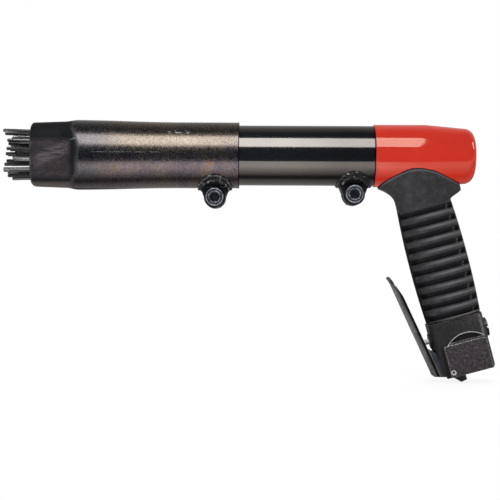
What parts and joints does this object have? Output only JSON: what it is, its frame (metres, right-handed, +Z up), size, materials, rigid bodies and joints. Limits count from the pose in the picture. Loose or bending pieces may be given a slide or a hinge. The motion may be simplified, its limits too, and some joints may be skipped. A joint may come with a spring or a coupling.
{
  "type": "needle scaler",
  "caption": "Pistol-grip air needle scaler: steel needles in a sliding flat-nosed tube, black barrel, red back head and a ribbed rubber handle with a lever throttle.",
  "frame": {"origin": "on the barrel axis, midway along the stretch of barrel that shows between front tube and back head", "axes": "+X along the barrel to the back head, so the needles point to -X; +Z up; the handle hangs down to -Z"},
  "size_m": [0.4159, 0.0558, 0.2201],
  "materials": {
    "heat_tinted_steel": "blackened with a brown heat tint, satin",
    "blued_steel": "blued black, glossy",
    "needle_steel": "dark drawn wire",
    "machined_steel": "machined",
    "bright_steel": "polished",
    "black_screw": "black oxide",
    "black_sheet": "blackened sheet",
    "black_casting": "black casting",
    "red_paint": "gloss red",
    "grip_rubber": "matt",
    "seal_rubber": "matt",
    "bronze": "turned"
  },
  "bodies": {
    "tool_body": {"back_head": "red_paint", "handle_core": "black_casting", "grip_sleeve": "grip_rubber", "throttle_block": "black_casting", "lever_pin": "bright_steel", "plunger_bush": "bronze", "plunger_seal": "seal_rubber", "throttle_seat": "bronze", "throttle_spring": "machined_steel", "valve_plug": "black_screw", "plug_seal": "seal_rubber", "inlet_screen": "bronze", "cylinder": "machined_steel", "cylinder_seal": "seal_rubber", "valve_seat": "machined_steel", "valve_cap": "machined_steel", "anvil_bush": "bronze", "barrel_tube": "blued_steel", "rear_clamp_screw": "black_screw", "rear_clamp_nut": "black_screw", "spring_stop": "machined_steel", "stop_circlip": "machined_steel", "return_spring": "machined_steel"},
    "nozzle": {"front_tube": "heat_tinted_steel", "front_clamp_screw": "black_screw", "front_clamp_nut": "black_screw"},
    "needle_pack": {"needles": "needle_steel", "needle_holder": "machined_steel"},
    "striker": {"anvil": "machined_steel"},
    "hammer": {"piston": "machined_steel"},
    "flutter_plate": {"valve_plate": "machined_steel"},
    "lever": {"throttle_lever": "black_sheet"},
    "plunger": {"throttle_plunger": "bright_steel", "throttle_ball": "bright_steel"}
  },
  "joints": [
    {"name": "nozzle_slide", "type": "slide", "parent": "tool_body", "child": "nozzle", "axis": [1, 0, 0], "range_m": [-0.01, 0.03]},
    {"name": "needle_stroke", "type": "slide", "parent": "tool_body", "child": "needle_pack", "axis": [-1, 0, 0], "range_m": [0, 0.008], "stiffness_N_per_m": 1500, "springref_m": -0.008, "deforming": ["return_spring"]},
    {"name": "anvil_stroke", "type": "slide", "parent": "tool_body", "child": "striker", "axis": [-1, 0, 0], "range_m": [0, 0.008]},
    {"name": "piston_stroke", "type": "slide", "parent": "tool_body", "child": "hammer", "axis": [1, 0, 0], "range_m": [0, 0.027]},
    {"name": "valve_flutter", "type": "slide", "parent": "tool_body", "child": "flutter_plate", "axis": [1, 0, 0], "range_m": [0, 0.0012]},
    {"name": "lever_press", "type": "hinge", "parent": "tool_body", "child": "lever", "pos_m": [0.12322, 0, -0.18215], "axis": [0, 1, 0], "range_deg": [0, 8], "stiffness_Nm_per_rad": 1.5, "springref_deg": -5.73},
    {"name": "plunger_slide", "type": "slide", "parent": "tool_body", "child": "plunger", "axis": [0.9659, 0, 0.2588], "range_m": [0, 0.0045], "deforming": ["throttle_spring"]}
  ],
  "couplings": [
    {"joint": "anvil_stroke", "follows": "needle_stroke", "ratio": 1},
    {"joint": "plunger_slide", "follows": "lever_press", "m_per_rad": 0.0304}
  ]
}
